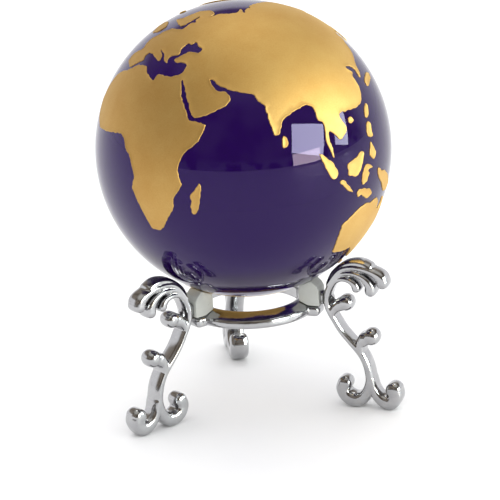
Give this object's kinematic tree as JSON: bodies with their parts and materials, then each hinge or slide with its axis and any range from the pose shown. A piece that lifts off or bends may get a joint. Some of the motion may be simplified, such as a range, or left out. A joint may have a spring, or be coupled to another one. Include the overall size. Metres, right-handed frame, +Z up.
{
  "type": "terrestrial globe",
  "caption": "Solid purple glass globe ball with gilt lands, resting loose on clear sleeves in a chromed stand of scroll legs and a ring.",
  "frame": {"origin": "on the stand's vertical axis, under the ball's centre, in the plane of the table that the feet stand on", "axes": "+Z up along the stand's axis, +Y towards the single back leg, so the other two legs point left-forward and right-forward"},
  "size_m": [0.08, 0.0834, 0.1113],
  "materials": {
    "purple_glass": "clear deep purple, polished",
    "gilding": "matte gold with a fine frosted grain and a brighter edge along the coasts",
    "chrome": "bright plated casting",
    "clear_silicone": "soft, clear and slightly milky",
    "screw_steel": "turned"
  },
  "bodies": {
    "stand": {"ring": "chrome", "leg_back": "chrome", "sleeve_back": "clear_silicone", "screw_back": "screw_steel", "leg_left": "chrome", "sleeve_left": "clear_silicone", "screw_left": "screw_steel", "leg_right": "chrome", "sleeve_right": "clear_silicone", "screw_right": "screw_steel"},
    "ball": {"glass_ball": "purple_glass", "gilt_africa_europe_asia": "gilding", "gilt_great_britain": "gilding", "gilt_iceland": "gilding", "gilt_madagascar": "gilding", "gilt_sri_lanka": "gilding", "gilt_sumatra": "gilding", "gilt_java": "gilding", "gilt_borneo": "gilding", "gilt_celebes": "gilding", "gilt_lesser_sunda": "gilding", "gilt_new_guinea": "gilding", "gilt_luzon": "gilding", "gilt_mindanao": "gilding", "gilt_formosa": "gilding", "gilt_hainan": "gilding", "gilt_japan": "gilding", "gilt_australia": "gilding", "gilt_tasmania": "gilding", "gilt_new_zealand_north": "gilding", "gilt_new_zealand_south": "gilding", "gilt_americas": "gilding", "gilt_antarctica": "gilding", "gilt_greenland": "gilding", "gilt_baffin_island": "gilding", "gilt_cuba": "gilding"}
  },
  "joints": [
    {"name": "ball_turn", "type": "hinge", "parent": "stand", "child": "ball", "pos_m": [0, 0, 0.0714], "axis": [0, 0, 1], "continuous": true}
  ]
}
